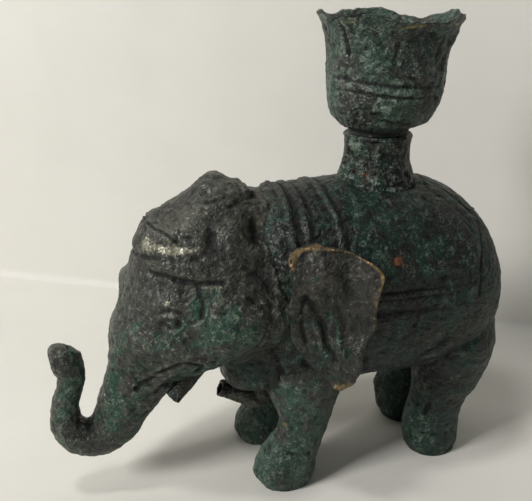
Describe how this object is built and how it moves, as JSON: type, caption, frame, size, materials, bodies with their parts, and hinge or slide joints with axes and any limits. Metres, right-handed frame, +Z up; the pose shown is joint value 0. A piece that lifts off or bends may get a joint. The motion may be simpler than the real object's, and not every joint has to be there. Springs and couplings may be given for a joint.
{
  "type": "cast elephant figure with cup",
  "caption": "Cast standing elephant, trunk curled forward and up, with a lift-off open cup on a flared stem on its back; rests on its soles.",
  "frame": {"origin": "on the floor, under the middle of the overall box", "axes": "+X towards the rump (head looks along -X), +Y towards the elephant's right side, +Z up"},
  "size_m": [0.1547, 0.0746, 0.1517],
  "materials": {
    "flank_patina": "cast bronze under a dark green patina, semi-gloss, pitted",
    "head_patina": "cast bronze under a grey-brown patina, semi-gloss, worn on the high spots",
    "leg_patina": "cast bronze under a mottled green-black patina",
    "ear_bronze": "cast bronze, brown patina, rim worn to brassy metal",
    "tusk_bronze": "cast bronze, pale worn edges",
    "stem_patina": "cast bronze, dark patina with pale verdigris patches",
    "cup_patina": "thin cast bronze, dark green patina, brassy specks along the torn rim",
    "fired_clay": "low-fired clay, matt",
    "rusted_iron": "iron with orange rust"
  },
  "bodies": {
    "elephant": {"torso": "flank_patina", "head": "head_patina", "left_ear": "ear_bronze", "right_ear": "ear_bronze", "left_tusk": "tusk_bronze", "right_tusk": "tusk_bronze", "left_front_leg": "leg_patina", "right_front_leg": "leg_patina", "left_hind_leg": "leg_patina", "right_hind_leg": "leg_patina", "tail": "leg_patina", "chest_lug": "head_patina", "stem": "stem_patina", "casting_core": "fired_clay", "chaplets": "rusted_iron", "belly_plate": "flank_patina", "belly_rivets": "tusk_bronze"},
    "cup": {"cup": "cup_patina"}
  },
  "joints": [
    {"name": "cup_lift", "type": "slide", "parent": "elephant", "child": "cup", "axis": [0, 0, 1], "range_m": [0, 0.02]}
  ]
}
